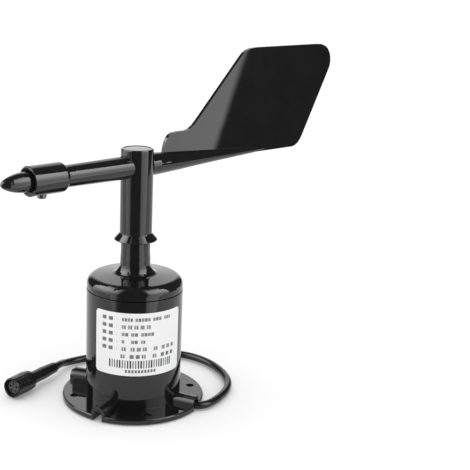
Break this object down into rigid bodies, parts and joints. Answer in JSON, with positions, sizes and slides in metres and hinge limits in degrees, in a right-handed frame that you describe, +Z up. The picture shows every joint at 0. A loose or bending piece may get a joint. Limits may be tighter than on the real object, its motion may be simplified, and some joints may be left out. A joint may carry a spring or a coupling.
{
  "type": "wind vane sensor",
  "caption": "Black wind direction sensor: a bullet-nosed vane turns on a round flanged housing that bolts down, with a short signal lead and a screw-on connector.",
  "frame": {"origin": "mast axis at the underside of the base flange", "axes": "+Z up along the mast; the four mounting holes lie at 45 degrees between the row axes; the connector points 3 degrees off -Y at -X"},
  "size_m": [0.1124, 0.2267, 0.1936],
  "materials": {
    "housing_plastic": "high gloss black polycarbonate",
    "vane_plastic": "high gloss black polycarbonate",
    "inner_plastic": "moulded matt",
    "connector_plastic": "satin moulded nylon",
    "lead_jacket": "soft PVC jacket",
    "rubber_seal": "matt rubber",
    "red_seal": "silicone",
    "label_film": "printed vinyl film",
    "screw_steel": "stainless",
    "bearing_steel": "ground",
    "contact_brass": "plated",
    "magnet": "nickel plated",
    "board": "solder mask",
    "lead_cores": "insulated cores"
  },
  "bodies": {
    "base": {"base_housing": "housing_plastic", "top_cover": "housing_plastic", "cover_seal": "rubber_seal", "cover_screws": "screw_steel", "bottom_plate": "inner_plastic", "bottom_gasket": "rubber_seal", "plate_screws": "screw_steel", "cable_grommet": "rubber_seal", "circuit_board": "board", "angle_sensor_chip": "inner_plastic", "board_terminal": "inner_plastic", "board_screws": "screw_steel", "signal_leads": "lead_cores", "upper_bearing_outer_race": "bearing_steel", "lower_bearing_outer_race": "bearing_steel", "neck_dust_seal": "rubber_seal", "label": "label_film", "signal_cable": "lead_jacket", "connector_boot": "lead_jacket", "connector_body": "connector_plastic", "connector_insert": "connector_plastic", "connector_contacts": "contact_brass", "connector_seal": "red_seal"},
    "vane": {"vane_hub": "vane_plastic", "hub_cap": "vane_plastic", "hub_nut": "screw_steel", "hub_washer": "screw_steel", "tail_vane": "vane_plastic", "front_arm": "vane_plastic", "nose_cone": "vane_plastic", "shaft": "bearing_steel", "upper_bearing_inner_race": "bearing_steel", "lower_bearing_inner_race": "bearing_steel", "upper_bearing_balls": "bearing_steel", "lower_bearing_balls": "bearing_steel", "bearing_spacer": "bearing_steel", "shaft_circlip": "bearing_steel", "magnet_holder": "contact_brass", "sensing_magnet": "magnet"},
    "counterweight": {"counterweight_collar": "vane_plastic", "collar_screw": "screw_steel"},
    "nut": {"coupling_nut": "connector_plastic"}
  },
  "joints": [
    {"name": "vane_spin", "type": "hinge", "parent": "base", "child": "vane", "pos_m": [0, 0, 0.1], "axis": [0, 0, 1], "continuous": true},
    {"name": "counterweight_slide", "type": "slide", "parent": "vane", "child": "counterweight", "axis": [0.3289, 0.9444, 0], "range_m": [-0.002, 0.004]},
    {"name": "coupling_nut_spin", "type": "hinge", "parent": "base", "child": "nut", "pos_m": [-0.05457, -0.03066, 0.0059], "axis": [-0.0523, -0.9986, 0], "continuous": true}
  ]
}
